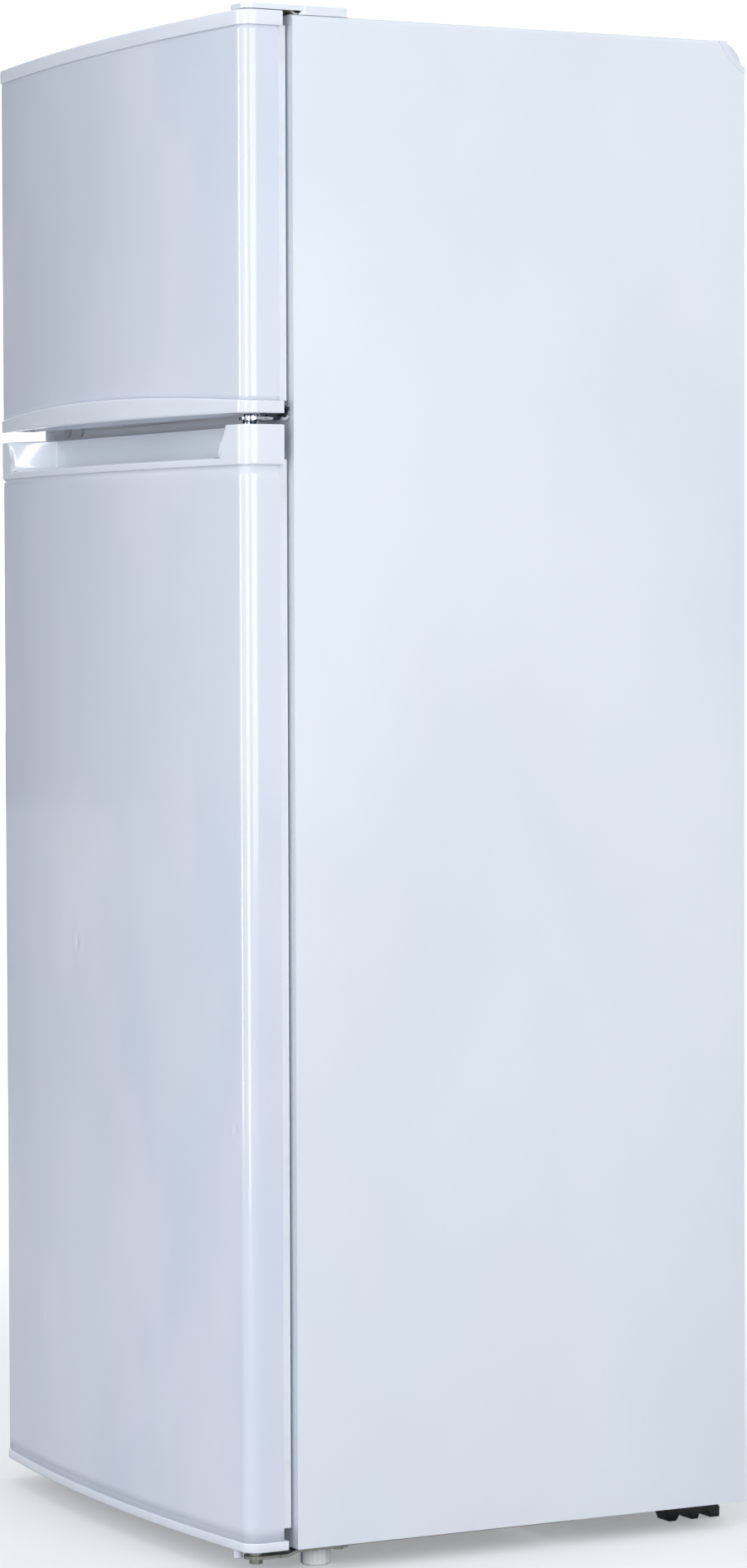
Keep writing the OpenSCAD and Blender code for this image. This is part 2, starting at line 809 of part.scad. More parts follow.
module foot(x, y) {
    r = foot_d / 2;
    translate([x, y, 0]) {
        difference() {
            rotate_extrude($fn = 72) polygon([
                [0, 0], [r - 1.5, 0], [r, 1.5], [r, 15], [r - 1.5, 17], [0, 17]
            ]);
            for (k = [0:17]) {
                rotate([0, 0, k * 20]) translate([r + 0.5, 0, 2.5]) cylinder(h = 16, d = 2.2, $fn = 16);
            }
        }
        rod_z(0, 0, 17, 44, 8);
    }
}

module left_foot() {
    color([0.92, 0.93, 0.95]) place() foot(-240, 35);
}

module right_foot() {
    color([0.92, 0.93, 0.95]) place() foot(240, 35);
}

module crisper_drawer() {
    z0 = fridge_z0 + 0.6;
    z1 = 238;
    w = drawer_w;
    color([0.80, 0.88, 0.90, 0.7]) place() difference() {
        union() {
            blk(-w, w, drawer_y0, drawer_y1, z0, z1);
            blk(-w, w, drawer_y0 - 5, drawer_y0, z1 - 34, z1 - 6);
        }
        blk(-w + 2.4, w - 2.4, drawer_y0 + 2.6, drawer_y1 - 2.4, z0 + 2.6, z1 + 5);
        blk(-70, 70, drawer_y0 - 3, drawer_y0 + 1, z1 - 40, z1 - 12);
    }
}

// ---------------------------------------------------------------- doors

module door_skin(z0, z1) {
    difference() {
        door_slab(0, skin_rear, z0, z1);
        door_slab(skin_t, skin_rear + 5, z0 - 1, z1 + 1);
    }
    both(hw - 9, hw - skin_t, skin_rear - 0.8, skin_rear, z0, z1);
}

module bush_hole(z0, z1) {
    rod_z(hx, hy, z0, z1, bush_d);
}

module freezer_door_skin() {
    color([0.83, 0.86, 0.91]) place() difference() {
        door_skin(freezer_door_z0 + visor_h, freezer_door_z1 - top_cap_h);
        under_visor();
    }
}

module door_cap(z0, z1, up) {
    difference() {
        door_slab(-cap_proud, -door_gap, z0, z1);
        door_slab(2.2, -door_gap - 3.5, (up ? z0 - 1 : z0 + 3), (up ? z1 - 3 : z1 + 1));
    }
}

// step in the back of a cap, which leaves room for the gasket
module gasket_room(z0, z1) {
    blk(-267, 267, skin_rear + 1.4, -door_gap + 1, z0, z1);
}

module freezer_door_top_cap() {
    z1 = freezer_door_z1;
    z0 = z1 - top_cap_h;
    color([0.87, 0.90, 0.94]) place() difference() {
        union() {
            door_cap(z0, z1, true);
            rod_z(hx, hy, z0, z1, bush_d + 6);
        }
        bush_hole(z0 - 1, z1 + 1);
        gasket_room(z0 - 1, freezer_seal_z1 + 0.6);
    }
}

module freezer_handle_cap() {
    z0 = freezer_door_z0;
    color([0.85, 0.88, 0.93]) place() difference() {
        union() {
            intersection() {
                difference() {
                    door_slab(-cap_proud, -door_gap, z0, z0 + visor_h + visor_rise + 1, visor_bulge);
                    door_slab(skin_t + 0.1, 0, z0 + visor_h, z0 + 60);
                }
                under_visor();
            }
            door_slab(skin_t + 0.1, -door_gap - 4.9, z0 + visor_h - 1, z0 + 19);
        }
        difference() {
            door_slab(3.6, -30, z0 - 1, z0 + 15, visor_bulge);
            both(232, 300, -90, 0, z0 - 2, z0 + 16);
        }
        bush_hole(z0 - 1, z0 + 25);
    }
}

module door_liner(z0, z1, rw, rz0, rz1, ry) {
    difference() {
        union() {
            blk(-hw + 3.4, hw - 3.4, skin_rear, skin_rear + 1.5, z0, z1);
            frame_box(rw, skin_rear + 1.5, ry, rz0, rz1, 18);
        }
        difference() {
            blk(-rw + 1.5, rw - 1.5, skin_rear - 1, ry - 1.5, rz0 + 1.5, rz1 - 1.5);
            blk(-rw + 16.5, rw - 16.5, skin_rear - 2, ry + 1, rz0 + 16.5, rz1 - 16.5);
        }
    }
}

module ledge_pair(z) {
    both(190, 204, skin_rear + 1.5, 14, z - 6, z);
}

module freezer_door_liner() {
    color([0.94, 0.95, 0.96]) place() {
        door_liner(freezer_door_z0 + visor_h + 0.6, freezer_door_z1 - top_cap_h, 214, 1082, 1332, 24);
        both(182, 197, skin_rear + 1.5, 14, 1102, 1108);
        both(182, 197, skin_rear + 1.5, 14, 1222, 1228);
    }
}

module door_foam(z0, z1, rw, rz0, rz1, ry) {
    door_slab(skin_t, skin_rear - 0.8, z0, z1);
    blk(-hw + 9, hw - 9, skin_rear - 0.8, skin_rear, z0, z1);
    difference() {
        blk(-rw + 1.5, rw - 1.5, skin_rear, ry - 1.5, rz0 + 1.5, rz1 - 1.5);
        blk(-rw + 16.5, rw - 16.5, skin_rear - 2, ry + 1, rz0 + 16.5, rz1 - 16.5);
    }
}

module freezer_door_foam() {
    color([0.93, 0.87, 0.70]) place()
        door_foam(freezer_door_z0 + 20.5, freezer_door_z1 - top_cap_h, 214, 1082, 1332, 24);
}

// sealing frame; the outer lip is chamfered so that it clears the cabinet as the door swings
module gasket(z0, z1) {
    difference() {
        blk(-266, 266, skin_rear + 1.5, -0.4, z0, z1);
        blk(-249, 249, skin_rear, 1, z0 + 15, z1 - 15);
        translate([0, 0, z0 - 1]) linear_extrude(z1 - z0 + 2)
            polygon([[255, 1], [255, -0.4], [267, -2.6], [267, 1]]);
        both(258, 263, -9.6, -5, z0 - 1, z1 + 1);
    }
}

module freezer_gasket() {
    color([0.84, 0.87, 0.92]) place() gasket(freezer_seal_z0, freezer_seal_z1);
}

module fridge_gasket() {
    color([0.84, 0.87, 0.92]) place() gasket(fridge_seal_z0, fridge_seal_z1);
}

// open-topped bin between x0 and x1
module bin(x0, x1, y1, z0, h, hf) {
    y0 = skin_rear + 1.7;
    difference() {
        along_x(x0, x1) polygon([
            [y0, z0], [y1 - 6, z0], [y1, z0 + 8], [y1, z0 + hf], [y0 + 14, z0 + h], [y0, z0 + h]
        ]);
        along_x(x0 + 2, x1 - 2) polygon([
            [y0 + 2, z0 + 2], [y1 - 7, z0 + 2], [y1 - 2, z0 + 9], [y1 - 2, z0 + h + 9], [y0 + 2, z0 + h + 9]
        ]);
    }
}

module freezer_door_bins() {
    color([0.86, 0.91, 0.95, 0.85]) place() {
        bin(-195.5, 195.5, 66, 1108, 60, 46);
        bin(-195.5, 195.5, 66, 1228, 60, 46);
    }
}

// bush for a hinge pin; its thin flange lies outside the cap, above it (1) or below it (-1)
module bush(z0, z1, side) {
    flange_z = side > 0 ? z1 : z0 - 0.3;
    difference() {
        union() {
            rod_z(hx, hy, z0, z1, bush_d);
            rod_z(hx, hy, flange_z, flange_z + 0.3, bush_d + 3);
        }
        rod_z(hx, hy, z0 - 1, z1 + 1, pin_d + pin_clear);
    }
}

module freezer_door_bushes() {
    color([0.95, 0.95, 0.95]) place() {
        bush(freezer_door_z1 - 12, freezer_door_z1, 1);
        bush(freezer_door_z0, freezer_door_z0 + 14, -1);
    }
}

module fridge_door_skin() {
    color([0.83, 0.86, 0.91]) place() door_skin(fridge_door_z0 + bottom_cap_h, fridge_door_z1 - grip_cap_h);
}

module fridge_handle_cap() {
    z1 = fridge_door_z1;
    z0 = z1 - grip_cap_h;
    color([0.85, 0.88, 0.93]) place() difference() {
        door_slab(-cap_proud, -door_gap, z0, z1);
        intersection() {
            translate([0, 0, lip_z]) linear_extrude(60)
                polygon([[-scoop_top - 12, -90], [-scoop_top, -53], [-scoop_back, -scoop_y],
                    [scoop_back, -scoop_y], [scoop_top, -53], [scoop_top + 12, -90]]);
            along_y(-100, 0) polygon([[-scoop_lip, lip_z], [-scoop_top, z1], [-scoop_top, z1 + 5],
                [scoop_top, z1 + 5], [scoop_top, z1], [scoop_lip, lip_z]]);
        }
        bush_hole(z0 + 10, z1 + 1);
        gasket_room(z0 - 1, fridge_seal_z1 + 0.6);
    }
}

module fridge_door_bottom_cap() {
    z0 = fridge_door_z0;
    color([0.87, 0.90, 0.94]) place() difference() {
        union() {
            door_cap(z0, z0 + bottom_cap_h, false);
            rod_z(hx, hy, z0, z0 + bottom_cap_h, bush_d + 6);
            rod_z(248, -47, z0 - 8, z0 + 1, 8);
        }
        bush_hole(z0 - 1, z0 + 20);
    }
}

module fridge_door_liner() {
    color([0.94, 0.95, 0.96]) place() {
        difference() {
            door_liner(fridge_door_z0 + bottom_cap_h, fridge_door_z1 - grip_cap_h, 222, 84, 970, 30);
            rod_x(-206, -203, -4, 876, 5.16);
            rod_x(203, 206, -4, 876, 5.16);
        }
        for (z = [110, 400, 640, 790]) {
            ledge_pair(z);
        }
    }
}

module fridge_door_foam() {
    color([0.93, 0.87, 0.70]) place() difference() {
        door_foam(fridge_door_z0 + bottom_cap_h, fridge_door_z1 - grip_cap_h, 222, 84, 970, 30);
        rod_z(hx, hy, fridge_door_z0, fridge_door_z0 + 16, bush_d + 0.2);
    }
}

module door_shelf_bins() {
    color([0.86, 0.91, 0.95, 0.85]) place() {
        bin(-bin_w, bin_w, bin_y, 400, 78, 56);
        bin(-bin_w, bin_w, bin_y, 640, 78, 56);
        bin(-bin_w, bin_w, 76, 790, 60, 44);
    }
}

module bottle_bin() {
    color([0.86, 0.91, 0.95, 0.85]) place() bin(-bin_w, bin_w, bin_y, 110, 120, 92);
}

module fridge_door_bushes() {
    color([0.95, 0.95, 0.95]) place() {
        bush(fridge_door_z1 - 20, fridge_door_z1, 1);
        bush(fridge_door_z0, fridge_door_z0 + 14, -1);
    }
}

module dairy_lid() {
    color([0.82, 0.90, 0.95, 0.7]) place() {
        rod_x(-205, 205, -4, 876, 5);
        along_x(-201, 201) polygon([
            [-4, 873.6], [-4, 878.4], [70, 875.6], [80.5, 864], [80.5, 840], [78.6, 840],
            [78.6, 863.2], [69.2, 873.4]
        ]);
    }
}

cabinet_wrapper();
rear_panel();
base_panel();
lower_front_rail();
mullion_rail();
rear_top_trim();
freezer_liner();
fridge_liner();
cabinet_foam();
freezer_evaporator();
fridge_evaporator();
condenser();
compressor_tray();
compressor();
compressor_grommets();
relay_box();
evaporating_pan();
drain_tube();
filter_drier();
refrigerant_tubes();
cord_gland();
thermostat_housing();
lamp_bulb();
lamp_cover();
shelf_glass();
shelf_trims();
crisper_cover();
freezer_shelf();
ice_tray();
top_hinge();
top_hinge_cover();
middle_hinge();
bottom_hinge();
hinge_screws();
hole_plugs();
rear_feet();
thermostat_knob();
door_switch_button();
left_foot();
right_foot();
crisper_drawer();
freezer_door_skin();
freezer_door_top_cap();
freezer_handle_cap();
freezer_door_liner();
freezer_door_foam();
freezer_gasket();
freezer_door_bins();
freezer_door_bushes();
fridge_door_skin();
fridge_handle_cap();
fridge_door_bottom_cap();
fridge_door_liner();
fridge_door_foam();
fridge_gasket();
door_shelf_bins();
bottle_bin();
fridge_door_bushes();
dairy_lid();
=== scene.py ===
"""Finishes, smooth mesh work and studio for a white top freezer refrigerator."""

import json
import math

import bpy
from mathutils import Matrix, Vector, noise


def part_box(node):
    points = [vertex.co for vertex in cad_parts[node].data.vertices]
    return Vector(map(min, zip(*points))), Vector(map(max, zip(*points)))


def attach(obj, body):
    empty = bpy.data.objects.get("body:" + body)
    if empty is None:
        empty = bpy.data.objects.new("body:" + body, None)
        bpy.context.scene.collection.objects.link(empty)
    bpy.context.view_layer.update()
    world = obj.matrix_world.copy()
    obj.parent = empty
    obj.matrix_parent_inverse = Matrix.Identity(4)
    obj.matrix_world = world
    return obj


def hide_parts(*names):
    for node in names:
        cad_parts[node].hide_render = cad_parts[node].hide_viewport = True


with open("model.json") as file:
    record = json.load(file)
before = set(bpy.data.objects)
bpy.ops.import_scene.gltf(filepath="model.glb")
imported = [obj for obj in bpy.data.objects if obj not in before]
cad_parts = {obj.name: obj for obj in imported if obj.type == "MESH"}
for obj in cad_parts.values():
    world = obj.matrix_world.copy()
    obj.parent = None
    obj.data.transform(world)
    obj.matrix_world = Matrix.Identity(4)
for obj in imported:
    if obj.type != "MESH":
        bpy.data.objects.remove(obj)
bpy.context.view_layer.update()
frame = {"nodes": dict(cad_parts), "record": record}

MM = 0.001


# ------------------------------------------------------------------ measures in mm, mostly from the frame

def z_range(node):
    low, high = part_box(node)
    return low.z / MM, high.z / MM


CABINET_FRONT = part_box("cabinet_wrapper")[0].y / MM
HALF_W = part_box("cabinet_wrapper")[1].x / MM
CAP_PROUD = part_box("fridge_door_bottom_cap")[1].x / MM - HALF_W
CAP_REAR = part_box("fridge_door_bottom_cap")[1].y / MM - CABINET_FRONT
SKIN_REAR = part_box("fridge_door_skin")[1].y / MM - CABINET_FRONT
SKIN_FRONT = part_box("fridge_door_skin")[0].y / MM - CABINET_FRONT
VISOR_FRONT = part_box("freezer_handle_cap")[0].y / MM - CABINET_FRONT
DOOR_BOW = 17.2  # how far the middle of a door's front stands out before its corners
SIDE_Y = -SKIN_FRONT - DOOR_BOW
CORNER_R = 13.7  # radius of a door's upright front corners
VISOR_BULGE = -VISOR_FRONT - CAP_PROUD - SIDE_Y - DOOR_BOW
VISOR_LOW, VISOR_TOP = z_range("freezer_handle_cap")
VISOR_SIDE = z_range("freezer_door_skin")[0]
SHEET = 0.8
BOTTOM_CAP_DROP = 8.5  # from the fridge door's skin down to the underside of its cap, without the peg

# centre across and up, half width, half height and depth of the small knocks in the fridge door
KNOCKS = [((-59, 551), 5.0, 7.5, 0.58), ((255, 401), 4.0, 6.0, 0.6)]


# ------------------------------------------------------------------ camera

CAMERA_AT = (3.9919, -2.0650, 0.8720)
CAMERA_LENS = 107.04
YAW, PITCH, ROLL = math.radians(62.394), math.radians(2.229), math.radians(-0.193)


def set_camera():
    """Looks along the fridge from its right front, nearly level."""
    data = bpy.data.cameras.new("camera")
    data.sensor_width = 36
    data.lens = CAMERA_LENS
    data.clip_start, data.clip_end = 0.05, 100
    camera = bpy.data.objects.new("camera", data)
    bpy.context.scene.collection.objects.link(camera)
    ahead = Vector((-math.sin(YAW) * math.cos(PITCH), math.cos(YAW) * math.cos(PITCH), -math.sin(PITCH)))
    level = Vector((math.cos(YAW), math.sin(YAW), 0))
    upright = level.cross(ahead)
    right = level * math.cos(ROLL) + upright * math.sin(ROLL)
    up = upright * math.cos(ROLL) - level * math.sin(ROLL)
    camera.matrix_world = Matrix((
        (right.x, up.x, -ahead.x, CAMERA_AT[0]),
        (right.y, up.y, -ahead.y, CAMERA_AT[1]),
        (right.z, up.z, -ahead.z, CAMERA_AT[2]),
        (0, 0, 0, 1),
    ))
    bpy.context.scene.camera = camera


set_camera()


# ------------------------------------------------------------------ finishes

def linear(r, g, b):
    """Colour as read from a swatch, 0 to 255, turned linear."""
    def one(c):
        c /= 255
        return c / 12.92 if c <= 0.04045 else ((c + 0.055) / 1.055) ** 2.4
    return one(r), one(g), one(b), 1.0


def dimmed(color, share):
    """The colour times a share, still opaque."""
    return tuple(c * share for c in color[:3]) + (1.0,)


class Value:
    """A number that varies over a surface. Arithmetic on it adds Math nodes."""

    def __init__(self, graph, socket):
        self.graph = graph
        self.socket = socket

    def _math(self, operation, a, b):
        node = self.graph.node("ShaderNodeMath", {"operation": operation}, {0: a, 1: b})
        return Value(self.graph, node.outputs[0])

    def __add__(self, other):
        return self._math("ADD", self, other)

    def __rsub__(self, other):
        return self._math("SUBTRACT", other, self)

    def __mul__(self, other):
        return self._math("MULTIPLY", self, other)


class Graph:
    """Nodes of one material or of the studio's surroundings."""

    def __init__(self, tree, coordinates):
        self.tree = tree
        self.where = self.node("ShaderNodeTexCoord").outputs[coordinates]

    def node(self, kind, settings=None, sockets=None):
        made = self.tree.nodes.new(kind)
        for key, value in (settings or {}).items():
            setattr(made, key, value)
        for key, value in (sockets or {}).items():
            self.put(made.inputs[key], value)
        return made

    def put(self, socket, value):
        if isinstance(value, Value):
            value = value.socket
        if isinstance(value, bpy.types.NodeSocket):
            self.tree.links.new(value, socket)
        else:
            socket.default_value = value

    def stretched(self, x, y, z):
        """The coordinates, scaled along each axis."""
        made = self.node("ShaderNodeVectorMath", {"operation": "MULTIPLY"}, {0: self.where, 1: (x, y, z)})
        return made.outputs[0]

    def axis(self, name):
        made = self.node("ShaderNodeSeparateXYZ", {}, {0: self.where})
        return Value(self, made.outputs[name])

    def noise(self, scale, detail=2.0, roughness=0.5, where=None):
        made = self.node("ShaderNodeTexNoise", {}, {
            "Vector": where or self.where, "Scale": scale, "Detail": detail, "Roughness": roughness,
        })
        return Value(self, made.outputs["Fac"])

    def ramp(self, value, low, high, to_low=0.0, to_high=1.0):
        """Smooth step of a value from to_low, where it is low, to to_high, where it is high."""
        made = self.node("ShaderNodeMapRange", {"interpolation_type": "SMOOTHSTEP"}, {
            "Value": value, "From Min": low, "From Max": high, "To Min": to_low, "To Max": to_high,
        })
        return Value(self, made.outputs["Result"])

    def mix(self, share, a, b):
        """Colour a where share is 0, turning into b where it is 1."""
        made = self.node("ShaderNodeMix", {"data_type": "RGBA"}, {0: share, 6: a, 7: b})
        return made.outputs[2]


class Finish(Graph):
    """One material. Sockets that don't vary are set on the shader itself."""

    def __init__(self, name, color, roughness, **shader):
        self.material = bpy.data.materials.new(name)
        self.material.use_nodes = True
        super().__init__(self.material.node_tree, "Object")
        self.shader = self.tree.nodes["Principled BSDF"]
        self.shader.inputs["Base Color"].default_value = color
        self.shader.inputs["Roughness"].default_value = roughness
        for key, value in shader.items():
            self.shader.inputs[key.replace("_", " ").title().replace("Ior", "IOR")].default_value = value

    def color(self, value):
        self.put(self.shader.inputs["Base Color"], value)

    def roughness(self, value):
        self.put(self.shader.inputs["Roughness"], value)

    def uneven(self, scale, low, high):
        """Roughness that drifts between two values."""
        self.roughness(self.ramp(self.noise(scale, 2.0), 0.3, 0.7, low, high))

    def bump(self, height, distance, strength=1.0):
        """Relief over what is there already; distance is the real height in metres."""
        normal = self.shader.inputs["Normal"]
        sockets = {"Height": height, "Distance": distance, "Strength": strength}
        if normal.is_linked:
            sockets["Normal"] = normal.links[0].from_socket
        made = self.node("ShaderNodeBump", {}, sockets)
        self.put(normal, made.outputs["Normal"])


def enamel(name, color, shade, roughness, wave, peel, coat, reflection_blush_share=0.2):
    """Painted sheet steel: slow waves of the sheet, fine orange peel, and in its colour painted clouds of
    shade and painted lighter patches of reflection.
    """
    finish = Finish(name, color, roughness, coat_weight=coat, coat_roughness=0.05, coat_ior=1.5, ior=1.5)
    # painted shade: upright-stretched clouds that darken the colour towards the shade colour
    painted_shade_cloud = finish.ramp(finish.noise(3.1, 3.0, 0.55, finish.stretched(1.0, 1.0, 0.55)), 0.32, 0.70)
    patches = finish.noise(4.7, 2.0, 0.5, finish.stretched(1.3, 1.0, 0.7))
    # painted reflection: lighter lavender patches, strongest on the gloss door enamel
    painted_reflection_blush = finish.ramp(patches, 0.52, 0.74, 0.0, reflection_blush_share)
    tint = finish.mix(painted_shade_cloud, color, shade)
    finish.color(finish.mix(painted_reflection_blush, tint, linear(232, 226, 240)))
    finish.uneven(6.0, roughness * 0.85, roughness * 1.2)
    finish.bump(finish.noise(5.0, 1.0, 0.4, finish.stretched(1.0, 1.0, 0.5)), wave)
    finish.bump(finish.noise(520.0, 2.0), peel, 0.35)
    return finish.material


def moulded(name, color, roughness, coat=0.35, grain=0.00003, speck=0.05):
    """Injection moulded plastic with a faint flow mottle."""
    finish = Finish(name, color, roughness, coat_weight=coat, coat_roughness=0.08, ior=1.5)
    flow = finish.noise(14.0, 3.0, 0.6, finish.stretched(0.4, 1.0, 1.6))
    finish.color(finish.mix(finish.ramp(flow, 0.35, 0.68), color, dimmed(color, 1 - speck)))
    finish.uneven(30.0, roughness * 0.8, roughness * 1.25)
    finish.bump(finish.noise(260.0, 2.0), grain, 0.5)
    return finish.material


def foot_finish():
    """Turned white foot with upright blue-grey streaks in its colour, partly dirt and partly painted shade.
    """
    finish = Finish("foot_white", linear(226, 229, 234), 0.2, coat_weight=0.5, coat_roughness=0.08)
    # painted shade: upright blue-grey streaks mixed into the white
    streaks = finish.ramp(finish.noise(110.0, 2.0, 0.5, finish.stretched(1.0, 1.0, 0.04)), 0.50, 0.62)
    finish.color(finish.mix(streaks, linear(236, 238, 241), linear(132, 140, 166)))
    finish.uneven(60.0, 0.14, 0.3)
    finish.bump(finish.noise(240.0, 2.0), 0.00003, 0.4)
    return finish.material


def plated(name, color, roughness, streak, dirt):
    """Plated steel with fine rolling lines and a few dull patches."""
    finish = Finish(name, color, roughness, metallic=1.0)
    lines = finish.noise(60.0, 3.0, 0.6, finish.stretched(1.0, 14.0, 14.0))
    patch = finish.ramp(finish.noise(38.0, 3.0), 0.45, 0.7)
    finish.color(finish.mix(patch, color, dimmed(color, dirt)))
    finish.roughness(finish.ramp(lines, 0.25, 0.75, roughness * 0.7, roughness * 1.5))
    finish.bump(lines, streak, 0.4)
    return finish.material


def chrome_finish():
    """Bright plate whose colour holds painted dark bands of reflection, standing for a dim room mirrored in
    it.
    """
    finish = Finish("bright_plate", linear(206, 211, 220), 0.1, metallic=1.0)
    painted_reflection_bands = finish.noise(34.0, 3.0, 0.6, finish.stretched(0.8, 2.4, 5.0))
    # painted reflection: dark blue-grey bands mixed into the base colour
    finish.color(finish.mix(finish.ramp(painted_reflection_bands, 0.42, 0.58), linear(222, 226, 234), linear(44, 52, 66)))
    finish.uneven(80.0, 0.06, 0.16)
    finish.bump(finish.noise(150.0, 2.0), 0.00004, 0.5)
    return finish.material


def sheen_black(name, level, roughness, grain):
    """Black painted or moulded surface with a faint dusty tint."""
    color = (level, level, level * 1.08, 1.0)
    finish = Finish(name, color, roughness, coat_weight=0.3, coat_roughness=0.15)
    dust = finish.ramp(finish.noise(22.0, 4.0, 0.65), 0.45, 0.78, 0.0, 0.35)
    finish.color(finish.mix(dust, color, (level * 3.2, level * 3.2, level * 3.1, 1.0)))
    finish.uneven(40.0, roughness * 0.8, roughness * 1.3)
    finish.bump(finish.noise(340.0, 2.0), grain, 0.5)
    return finish.material


def seal_finish():
    """Soft grey-white sealing strip with fine drawn lines along it."""
    finish = Finish("seal_strip", linear(206, 214, 226), 0.55, ior=1.45)
    soil = finish.ramp(finish.noise(9.0, 4.0, 0.6), 0.48, 0.80, 0.0, 0.4)
    finish.color(finish.mix(soil, linear(236, 241, 248), linear(196, 198, 198)))
    finish.uneven(60.0, 0.45, 0.65)
    finish.bump(finish.noise(180.0, 2.0), 0.00005, 0.5)
    return finish.material


def clear(name, color, alpha, roughness):
    """Clear moulded plastic or glass, thin enough to be shown by its share of alpha."""
    finish = Finish(name, color, roughness, alpha=alpha, coat_weight=0.6, coat_roughness=0.03, ior=1.5)
    haze = finish.ramp(finish.noise(7.0, 1.0), 0.35, 0.7, alpha * 0.96, alpha * 1.05)
    finish.put(finish.shader.inputs["Alpha"], haze)
    finish.bump(finish.noise(90.0, 1.0), 0.00004, 0.3)
    finish.color(finish.mix(haze, color, dimmed(color, 0.97)))
    return finish.material


def foam_finish():
    """Foamed insulation: pale yellow, with open cells whose hollows are painted darker as shade."""
    finish = Finish("foamed_insulation", linear(236, 219, 165), 0.9)
    cells = finish.node("ShaderNodeTexVoronoi", {}, {"Vector": finish.where, "Scale": 420.0})
    depth = Value(finish, cells.outputs["Distance"])
    # painted shade: the colour darkens towards the bottom of each cell's hollow
    finish.color(finish.mix(finish.ramp(depth, 0.1, 0.6), linear(219, 198, 140), linear(242, 229, 184)))
    finish.bump(depth, 0.0004, 0.8)
    return finish.material


def copper_finish():
    """Drawn copper that has begun to brown."""
    finish = Finish("drawn_copper", linear(196, 121, 82), 0.3, metallic=1.0)
    brown = finish.ramp(finish.noise(26.0, 4.0, 0.6), 0.4, 0.72)
    finish.color(finish.mix(brown, linear(205, 130, 92), linear(128, 76, 52)))
    finish.uneven(45.0, 0.22, 0.45)
    return finish.material


FINISHES = {
    "body_steel": enamel(
        "satin_enamel", linear(221, 228, 236), linear(213, 221, 231),
        roughness=0.36, wave=0.0006, peel=0.00003, coat=0.25),
    "door_steel": enamel(
        "gloss_enamel", linear(214, 221, 233), linear(203, 212, 227),
        roughness=0.17, wave=0.0011, peel=0.000018, coat=0.8, reflection_blush_share=0.4),
    # painted light: the same white enamel as the body, made brighter to lift the rail and flange out of the
    # door gap's shade
    "rail_steel": enamel(
        "rail_enamel_painted_light", linear(240, 244, 251), linear(234, 239, 248),
        roughness=0.22, wave=0.0002, peel=0.00003, coat=0.6),
    "zinc_steel": plated("zinc_plate", linear(166, 167, 158), 0.38, 0.00003, 0.8),
    "bright_steel": chrome_finish(),
    "black_steel": sheen_black("black_paint", 0.018, 0.35, 0.00006),
    "copper_tube": copper_finish(),
    "evaporator_aluminium": plated("mill_aluminium", linear(206, 208, 211), 0.34, 0.00003, 0.86),
    "cap_plastic": moulded("cap_white", linear(221, 228, 238), 0.15, 0.45),
    "liner_plastic": moulded("liner_white", linear(238, 240, 242), 0.22, 0.4),
    "clear_plastic": clear("clear_styrene", linear(236, 242, 246), 0.30, 0.06),
    "black_plastic": sheen_black("black_moulding", 0.014, 0.2, 0.00004),
    "white_plastic": moulded("satin_white", linear(232, 235, 240), 0.32, 0.15),
    "seal_rubber": seal_finish(),
    "black_rubber": sheen_black("grommet_rubber", 0.012, 0.7, 0.00008),
    "foam": foam_finish(),
    "shelf_glass": clear("green_glass", linear(205, 228, 222), 0.28, 0.03),
    "lamp_glass": clear("lamp_envelope", linear(249, 244, 224), 0.7, 0.1),
}
OWN_FINISH = {
    "left_foot": foot_finish(),
    "right_foot": foot_finish(),
    "rear_feet": sheen_black("glossy_foot", 0.01, 0.08, 0.00002),
}
SLOT_OF = {entry["node"]: entry["material_slot"] for entry in frame["record"]["subparts"]}


# ------------------------------------------------------------------ mesh helpers

def at(x, y, z):
    """Point given in mm from the cabinet's front plane, in the row frame."""
    return x * MM, (y + CABINET_FRONT) * MM, z * MM


def finished(name, mesh, body, slot, *replaced):
    """Adds a mesh as a piece that rides on a body and stands for CAD nodes."""
    for face in mesh.polygons:
        face.use_smooth = True
    piece = bpy.data.objects.new(name, mesh)
    bpy.context.scene.collection.objects.link(piece)
    mesh.materials.append(FINISHES[slot])
    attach(piece, body)
    if replaced:
        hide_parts(*replaced)
    return piece


def loft(name, rows, closed_rows=True):
    """Mesh from rows of points, each row as long as the others.

    Closed rows join the last row to the first, and both ends get a face.
    """
    wide = len(rows[0])
    points = [p for row in rows for p in row]
    faces = []
    last = len(rows) if closed_rows else len(rows) - 1
    for r in range(last):
        n = (r + 1) % len(rows)
        for c in range(wide - 1):
            faces.append((r * wide + c, n * wide + c, n * wide + c + 1, r * wide + c + 1))
    if closed_rows:
        faces.append([r * wide for r in range(len(rows))][::-1])
        faces.append([r * wide + wide - 1 for r in range(len(rows))])
    mesh = bpy.data.meshes.new(name)
    mesh.from_pydata(points, [], faces)
    mesh.validate()
    mesh.update()
    return mesh


def keep_sharp(mesh, degrees):
    """Keeps the edges that turn by more than this from being shaded smooth."""
    mesh.set_sharp_from_angle(angle=math.radians(degrees))


def ease(t):
    """Smooth step from 0 to 1."""
    t = min(1.0, max(0.0, t))
    return t * t * (3 - 2 * t)


def front_columns():
    """X positions across the bowed front, close together at the scoop's side walls and at a knock.

    The knock's columns are shifted a hair, so that none falls on another column.
    """
    middle = [-172 + 8 * k for k in range(44)]
    edge = [174 + 1.5 * k for k in range(58)]
    knock = [KNOCKS[0][0][0] - 14 + 1.4 * k + 0.03 for k in range(21)]
    return sorted([-x for x in edge] + middle + edge + knock, reverse=True)


